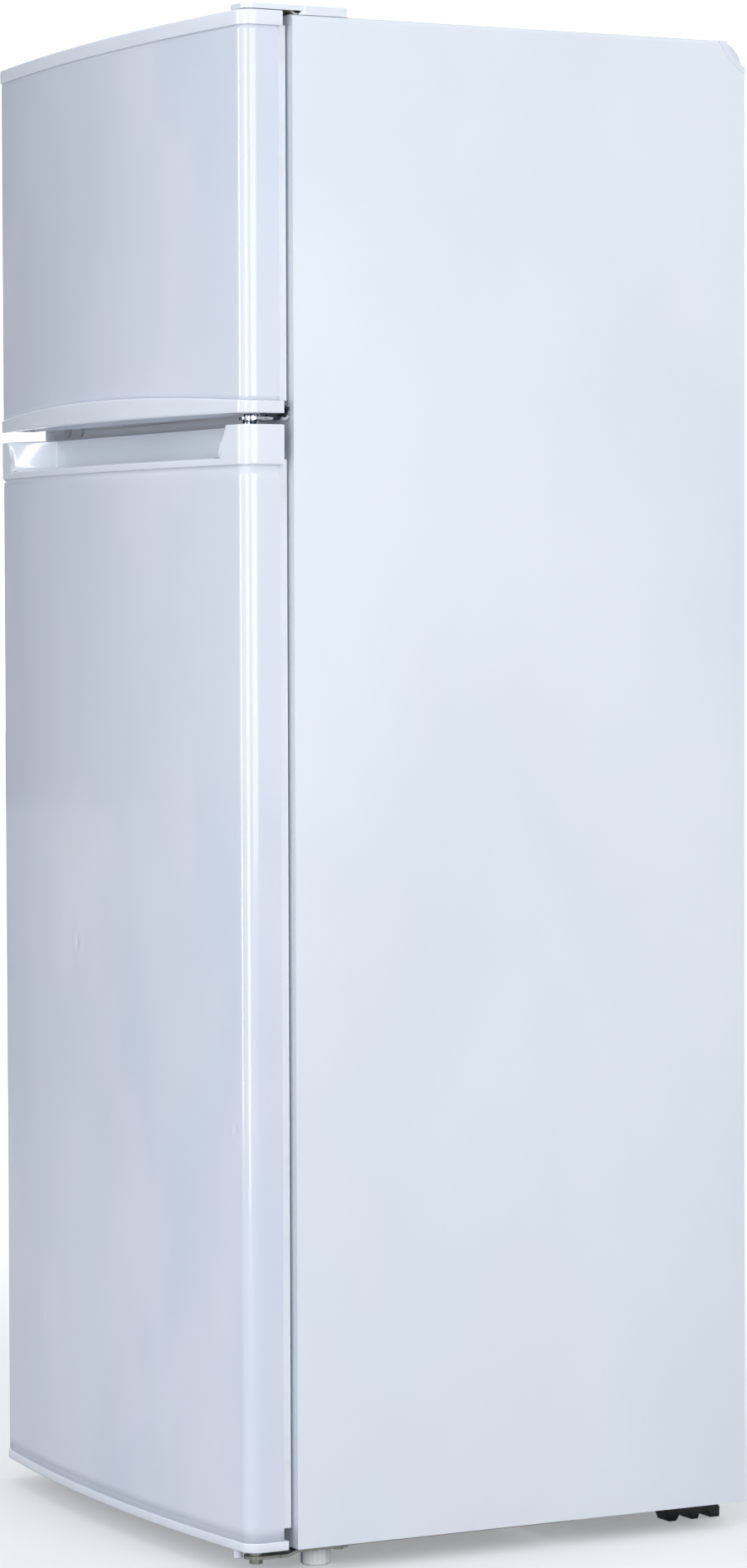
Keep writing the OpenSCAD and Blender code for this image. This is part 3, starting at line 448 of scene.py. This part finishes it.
def door_points(inset, rear, bulge):
    """Plan outline of a door from its right rear edge round the bowed front to its left rear edge."""
    bow = DOOR_BOW + bulge
    radius = (HALF_W ** 2 + bow ** 2) / (2 * bow)
    front = -(SIDE_Y + bow)
    centre_x = HALF_W - CORNER_R
    turn = math.asin(centre_x / (radius - CORNER_R))
    centre_y = front + radius - (radius - CORNER_R) * math.cos(turn)
    corner = CORNER_R - inset
    corner_steps, side_steps = 10, 6
    points = []
    for k in range(side_steps):
        points.append((HALF_W - inset, rear + (centre_y - rear) * k / side_steps))
    for k in range(corner_steps + 1):
        a = -k * (math.pi / 2 - turn) / corner_steps
        points.append((centre_x + corner * math.cos(a), centre_y + corner * math.sin(a)))
    limit = (radius - inset) * math.sin(turn)
    for x in front_columns():
        if abs(x) < limit - 0.5:
            points.append((x, front + radius - math.sqrt((radius - inset) ** 2 - x * x)))
    for k in range(corner_steps, -1, -1):
        a = -k * (math.pi / 2 - turn) / corner_steps
        points.append((-centre_x - corner * math.cos(a), centre_y + corner * math.sin(a)))
    for k in range(side_steps - 1, -1, -1):
        points.append((-HALF_W + inset, rear + (centre_y - rear) * k / side_steps))
    return points


def outline(inset, rear, bulge=0.0):
    """Outline with the same number of points for any small inset."""
    whole = door_points(0.0, rear, bulge)
    moved = door_points(inset, rear, bulge)
    if len(moved) != len(whole):
        raise ValueError("an inset outline has lost a column")
    return moved


# ------------------------------------------------------------------ door sheets

def visor_edge(x):
    """Height of the visor's arched top edge, which is also the freezer door sheet's lower edge."""
    rise = VISOR_TOP - VISOR_SIDE
    radius = (HALF_W ** 2 + rise ** 2) / (2 * rise)
    return VISOR_SIDE + rise - radius + math.sqrt(radius ** 2 - min(abs(x), HALF_W) ** 2)


def dent(x, z, where, width, height, depth):
    """Small knock in a sheet, with a faint raised rim."""
    d = math.hypot((x - where[0]) / width, (z - where[1]) / height)
    return depth * (math.exp(-2.2 * d * d) - 0.25 * math.exp(-0.9 * (d - 1.5) ** 2))


def door_sheet(name, low, high, dents, body, node):
    """Bent steel face of a door, with rolled returns along its rear edges."""
    face = outline(0.0, SKIN_REAR)
    lip_in, steps = 8.0, 72
    wave_depth, edge_fade = 0.22, 40
    off_corner, corner_fade = 4, 14
    span = high - low(0)
    shares = {r / steps for r in range(steps + 1)}
    shares |= {(knock[0][1] - low(0) + 1.7 * k) / span for knock in dents for k in range(-10, 11)}
    rows = []
    for share in sorted(shares):
        row = []
        for x, y in face:
            z0 = low(x)
            z = z0 + (high - z0) * share
            on_front = ease((HALF_W - off_corner - abs(x)) / corner_fade)
            wave = noise.noise(Vector((x / 190, z / 310, 3.7))) * wave_depth * on_front
            off_edges = min(1.0, (z - z0) / edge_fade, (high - z) / edge_fade)
            pushed = abs(wave) * max(0.0, off_edges)
            pushed += sum(dent(x, z, *d) for d in dents) * on_front
            row.append(at(x, y + pushed, z))
        row.insert(0, at(HALF_W - lip_in, SKIN_REAR, z))
        row.append(at(-HALF_W + lip_in, SKIN_REAR, z))
        rows.append(row)
    mesh = loft(name, rows, closed_rows=False)
    piece = finished(name, mesh, body, "door_steel", node)
    keep_sharp(mesh, 40)
    thick = piece.modifiers.new("sheet", "SOLIDIFY")
    thick.thickness = SHEET * MM
    thick.offset = -1.0


def make_door_sheets():
    freezer_top = z_range("freezer_door_skin")[1]
    door_sheet("freezer_door_sheet", visor_edge, freezer_top, [], "freezer_door", "freezer_door_skin")
    low, high = z_range("fridge_door_skin")
    door_sheet("fridge_door_sheet", lambda x: low, high, KNOCKS, "fridge_door", "fridge_door_skin")


# ------------------------------------------------------------------ plastic end caps

RIM_INSET = 0.9  # inset of the ring, at its lowest, that a cap's outside starts from
BACK_INSET = 6.0  # inset of the rows that close a cap over its top and under it


def cap_rows(outer, rear, top_z, low_z):
    """Rows round a cap: (inset, z) up its outside, then over its top, down its back and under it."""
    rows = []
    for inset, z in outer:
        rows.append([at(x, y, z) for x, y in outline(inset, rear)])
    inner = outline(BACK_INSET, rear)
    rows.append([at(x, y, top_z) for x, y in inner])
    rows.append([at(x, max(y, rear), top_z) for x, y in inner])
    rows.append([at(x, max(y, rear), low_z) for x, y in inner])
    rows.append([at(x, y, low_z) for x, y in inner])
    return rows


def plain_cap(name, node, body, top_round, low_round):
    """End cap that stands a little proud of its door, with a rounded top and lower edge."""
    low, high = z_range(node)
    if node == "fridge_door_bottom_cap":
        low = z_range("fridge_door_skin")[0] - BOTTOM_CAP_DROP
    proud = -CAP_PROUD
    outer = [
        (RIM_INSET, low),
        (proud + 0.55 * low_round, low),
        (proud + 0.16 * low_round, low + 0.3 * low_round),
        (proud, low + low_round),
        (proud, (low + high) / 2),
        (proud, high - top_round),
        (proud + 0.13 * top_round, high - 0.5 * top_round),
        (proud + 0.5 * top_round, high - 0.13 * top_round),
        (proud + top_round, high),
    ]
    mesh = loft(name, cap_rows(outer, CAP_REAR, high, low))
    finished(name, mesh, body, "cap_plastic", node)
    keep_sharp(mesh, 50)


def door_peg():
    """Round stop peg under the fridge door."""
    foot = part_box("fridge_door_bottom_cap")[0].z / MM
    radius, centre_x, centre_y = 4.0, 248, -47
    profile = [
        (0.0, foot),
        (radius - 1.0, foot),
        (radius - 0.3, foot + 0.3),
        (radius, foot + 1.0),
        (radius, foot + 8.6),
    ]
    turns = 40
    rows = []
    for r, z in profile:
        row = []
        for k in range(turns + 1):
            a = k * math.tau / turns
            row.append(at(centre_x + r * math.cos(a), centre_y + r * math.sin(a), z))
        rows.append(row)
    mesh = loft("door_stop_peg", rows, closed_rows=False)
    finished("door_stop_peg", mesh, "fridge_door", "cap_plastic")
    keep_sharp(mesh, 40)


def visor():
    """Bulged, arched grip visor along the freezer door's lower edge, hollow for the fingertips."""
    base = outline(0.0, CAP_REAR)
    low = VISOR_LOW
    hollow, hollow_half, hollow_fade, back = 14.0, 234, 10, -30.0
    wall, wall_lean = 3.6, 0.4
    face_top, face_low = -2.2, 2.4

    def row(share, lift, from_top):
        """Outline at a share of the bulge, lifted from the arched top edge or from the flat lower one."""
        bulged = outline(-CAP_PROUD * share, CAP_REAR, VISOR_BULGE * share)
        return [at(x, y, (visor_edge(b[0]) if from_top else low) + lift) for (x, y), b in zip(bulged, base)]

    top, foot = row(1.0, face_top, True), row(1.0, face_low, False)
    rows = [row(0.0, 0.0, True), row(0.5, 0.05, True), row(0.82, -0.25, True), row(0.95, -0.9, True), top]
    for k in range(1, 5):
        rows.append([tuple(a + (b - a) * k / 5 for a, b in zip(p, q)) for p, q in zip(top, foot)])
    rows += [foot, row(0.97, 1.0, False), row(0.85, 0.3, False), row(0.6, 0.0, False)]
    inner = outline(wall, CAP_REAR, VISOR_BULGE)

    def depth(x):
        return hollow * ease((hollow_half - abs(x)) / hollow_fade)

    rows.append([at(x, y, low) for x, y in inner])
    rows.append([at(x, y + wall_lean, low + depth(x)) for x, y in inner])
    rows.append([at(x, max(y + wall_lean, back), low + depth(x)) for x, y in inner])
    rows.append([at(x, max(y + wall_lean, back), low) for x, y in inner])
    rows.append([at(x, CAP_REAR, low) for x, y in inner])
    rows.append([at(x, CAP_REAR, VISOR_SIDE) for x, y in inner])
    mesh = loft("freezer_visor", rows)
    finished("freezer_visor", mesh, "freezer_door", "cap_plastic", "freezer_handle_cap")
    keep_sharp(mesh, 50)


def grip_cap():
    """Cap of the fridge door, scooped out behind a lip so that fingers reach under the visor."""
    low, high = z_range("fridge_handle_cap")
    lip = low + 7.0
    rim = 1.2
    lip_half, top_half, back_half, back_y = 236.0, 246.0, 189.0, -25.0
    past_scoop, blend = 270, 3.0
    outer = outline(-CAP_PROUD, CAP_REAR)
    hidden = outline(RIM_INSET, CAP_REAR)
    soft = outline(-CAP_PROUD + 0.7, CAP_REAR)

    def scoop_depth(x, y, z):
        """How far the surface lies behind the cap's face."""
        if abs(x) > past_scoop:
            return 0.0
        half = lip_half + (top_half - lip_half) * (z - lip) / (high - lip)
        full = back_y - y
        side = (half - abs(x)) * full / (half - back_half)
        return max(0.0, min(full, side))

    # each row: how its depth is counted (mm from the face, share of the depth, or mm short of the back
    # wall), its height within the scoop, and that depth
    plan = [("mm", lip - 2.2, 0.0), ("mm", lip - 1.1, 0.25), ("mm", lip - 0.35, 0.9), ("mm", lip, 2.2)]
    plan += [("share", lip, s) for s in (0.2, 0.45, 0.7)]
    plan += [("end", lip, 5.0), ("end", lip + 0.6, 2.4), ("end", lip + 2.2, 0.7), ("end", lip + 4.6, 0.0)]
    plan += [("end", lip + 4.6 + (high - lip - 5.8) * k / 6, 0.0) for k in range(1, 7)]
    rows = [
        [at(x, y, low) for x, y in hidden],
        [at(x, y, low) for x, y in soft],
        [at(x, y, low + 0.35) for x, y in outline(-CAP_PROUD + 0.2, CAP_REAR)],
        [at(x, y, low + rim) for x, y in outer],
    ]
    count = len(plan)
    for r, (kind, z_in, amount) in enumerate(plan):
        z_out = low + rim + (high - rim - low - rim) * (r + 1) / count
        row = []
        for x, y in outer:
            depth = scoop_depth(x, y, max(z_in, lip))
            inside = ease(depth / blend)
            z = z_out + (z_in - z_out) * inside
            if kind == "mm":
                set_back = min(amount, depth)
            elif kind == "share":
                set_back = depth * amount
            else:
                set_back = max(0.0, depth - amount)
            row.append(at(x, y + set_back, z))
        rows.append(row)
    top_in, top_flat = [], []
    for (x, y), (sx, sy) in zip(outer, soft):
        depth = scoop_depth(x, y, high)
        inside = ease(depth / blend)
        eased_y = y + depth + (sy - y) * 0.3 * (1 - inside) + 0.3 * inside
        top_in.append(at(x + (sx - x) * 0.3, eased_y, high - 0.35))
        top_flat.append(at(sx, y + depth + (sy - y) * (1 - inside) + 1.1 * inside, high))
    rows += [top_in, top_flat]
    inner = outline(BACK_INSET, CAP_REAR)
    rows.append([at(x, CAP_REAR, high) for x, y in inner])
    rows.append([at(x, CAP_REAR, low) for x, y in inner])
    mesh = loft("fridge_grip_cap", rows)
    finished("fridge_grip_cap", mesh, "fridge_door", "cap_plastic", "fridge_handle_cap")
    keep_sharp(mesh, 60)


# ------------------------------------------------------------------ pieces that keep their CAD shape

# how much the edges of each are rounded, in mm; those that are not named stay as they are
ROUND_MM = {
    "cabinet_wrapper": 0.35, "rear_top_trim": 0.8, "top_hinge_cover": 0.8, "middle_hinge": 0.35,
    "bottom_hinge": 0.4, "top_hinge": 0.3, "hinge_screws": 0.25, "hole_plugs": 0.5,
    "left_foot": 0.5, "right_foot": 0.5, "rear_feet": 0.8,
    "freezer_gasket": 0.6, "fridge_gasket": 0.6, "freezer_door_liner": 1.0, "fridge_door_liner": 1.0,
    "freezer_liner": 0.6, "fridge_liner": 0.6, "crisper_drawer": 0.8, "dairy_lid": 0.6, "bottle_bin": 0.7,
    "door_shelf_bins": 0.7, "freezer_door_bins": 0.7, "shelf_trims": 0.8, "thermostat_housing": 1.2,
    "thermostat_knob": 0.8, "compressor": 0.8, "relay_box": 1.0, "evaporating_pan": 0.8, "cord_gland": 0.6,
    "lamp_cover": 0.5, "shelf_glass": 0.5, "crisper_cover": 0.5, "ice_tray": 0.8, "mullion_rail": 0.3,
    "compressor_grommets": 0.6, "door_switch_button": 0.3,
}


ROUND_ABOVE = math.radians(28)


def soften(node, width):
    """Joins a CAD mesh's faces, rounds its edges a little and shades it smoothly."""
    piece = frame["nodes"][node]
    mesh = piece.data
    if "custom_normal" in mesh.attributes:
        mesh.attributes.remove(mesh.attributes["custom_normal"])
    for face in mesh.polygons:
        face.use_smooth = True
    joined = piece.modifiers.new("joined", "WELD")
    joined.merge_threshold = 0.01 * MM
    rounded = piece.modifiers.new("rounded", "BEVEL")
    rounded.width = width * MM
    rounded.segments = 2
    rounded.limit_method = "ANGLE"
    rounded.angle_limit = ROUND_ABOVE
    even = piece.modifiers.new("even", "WEIGHTED_NORMAL")
    even.weight = 80
    even.keep_sharp = False


def finish_cad_nodes():
    """Gives every CAD piece its finish, and rounds those that ROUND_MM names."""
    for node, piece in frame["nodes"].items():
        piece.data.materials.clear()
        piece.data.materials.append(OWN_FINISH.get(node) or FINISHES[SLOT_OF[node]])
        if node in ROUND_MM:
            soften(node, ROUND_MM[node])


# ------------------------------------------------------------------ studio

ROOM_LIGHT = 0.62
FLOOR_RADIUS = 16.0

# name, place, point it faces, size, watts and colour of each light
LIGHTS = [
    ("key_right", (3.5, -0.2, 1.75), (0.2, 0.0, 0.6), (2.4, 2.8), 54, (1.0, 0.985, 0.955)),
    ("near_right", (1.5, -1.9, 1.17), (0.27, -0.2, 0.8), (0.7, 2.3), 18, (1.0, 0.99, 0.965)),
    ("corner_strip", (-0.95, -3.6, 1.2), (0.25, -0.25, 0.75), (0.35, 3.6), 38, (1.0, 1.0, 1.0)),
    ("top", (0.2, -0.6, 4.2), (0, 0, 0.7), (2.4, 2.4), 20, (1.0, 1.0, 1.0)),
    ("left_fill", (-3.4, 1.0, 1.7), (-0.2, 0.1, 0.7), (2.2, 2.2), 24, (1.0, 1.0, 1.0)),
    ("rear_fill", (-0.5, 3.4, 2.4), (0, 0, 0.7), (2.4, 1.8), 36, (1.0, 1.0, 1.0)),
]


def surroundings():
    """Near white to the camera, while the fridge reflects a dimmer room.

    That room is dark to the left, save straight in front, with faint upright streaks and a brighter ceiling.
    """
    world = bpy.data.worlds.new("studio")
    world.use_nodes = True
    room = Graph(world.node_tree, "Generated")
    back = room.tree.nodes["Background"]
    left = room.ramp(room.axis("X"), -0.25, -0.75)
    not_front = room.ramp(room.axis("Y"), -0.88, -0.40)
    streaks = room.ramp(room.noise(5.0, 3.0, 0.55, room.stretched(1.0, 1.0, 0.16)), 0.36, 0.66, 0.55, 1.25)
    lit = 1.0 - left * not_front * 0.86
    ceiling = room.ramp(room.axis("Z"), 0.22, 0.5)
    shade = lit * (1.0 - left) + lit * left * streaks + ceiling * 0.9
    seen = room.node("ShaderNodeLightPath").outputs["Is Camera Ray"]
    tone = room.mix(shade, (0.0, 0.0, 0.0, 1), (0.92, 0.95, 1.0, 1))
    room.put(back.inputs["Color"], room.mix(seen, tone, (1.7, 1.72, 1.75, 1)))
    back.inputs["Strength"].default_value = ROOM_LIGHT
    return world


def floor_finish():
    """Pale to the camera, with a glow that grows away from the fridge. The fridge reflects it darker."""
    pale = Finish("studio_white", (0.52, 0.53, 0.55, 1), 0.9, emission_strength=1.0)
    x, y = pale.axis("X"), pale.axis("Y")
    far = pale.ramp(x * x + y * y, 0.2, 9.0)
    glow = pale.mix(far, (0.30, 0.305, 0.31, 1), (0.84, 0.85, 0.87, 1))
    seen = pale.node("ShaderNodeLightPath").outputs["Is Camera Ray"]
    pale.color(pale.mix(seen, (0.34, 0.345, 0.36, 1), (0.52, 0.53, 0.55, 1)))
    pale.put(pale.shader.inputs["Emission Color"], pale.mix(seen, (0.06, 0.062, 0.066, 1), glow))
    return pale.material


def add_studio():
    """World, floor and lights, none of which belongs to the part."""
    scene = bpy.context.scene
    scene.view_settings.view_transform = "Standard"
    scene.world = surroundings()
    mesh = bpy.data.meshes.new("studio_floor")
    turns = 96
    ring = []
    for k in range(turns):
        a = k * math.tau / turns
        ring.append((FLOOR_RADIUS * math.cos(a), FLOOR_RADIUS * math.sin(a), 0))
    mesh.from_pydata(ring, [], [tuple(range(turns))])
    floor = bpy.data.objects.new("studio_floor", mesh)
    scene.collection.objects.link(floor)
    mesh.materials.append(floor_finish())
    for name, place, target, size, power, color in LIGHTS:
        data = bpy.data.lights.new(name, "AREA")
        data.shape = "RECTANGLE"
        data.size, data.size_y = size
        data.energy = power
        data.color = color
        lamp = bpy.data.objects.new(name, data)
        lamp.location = place
        lamp.rotation_euler = (Vector(target) - Vector(place)).to_track_quat("-Z", "Y").to_euler()
        scene.collection.objects.link(lamp)


# ------------------------------------------------------------------ the whole scene

make_door_sheets()
plain_cap("freezer_top_cap", "freezer_door_top_cap", "freezer_door", 2.0, 0.6)
plain_cap("fridge_bottom_cap", "fridge_door_bottom_cap", "fridge_door", 0.8, 1.4)
door_peg()
visor()
grip_cap()
finish_cad_nodes()
add_studio()
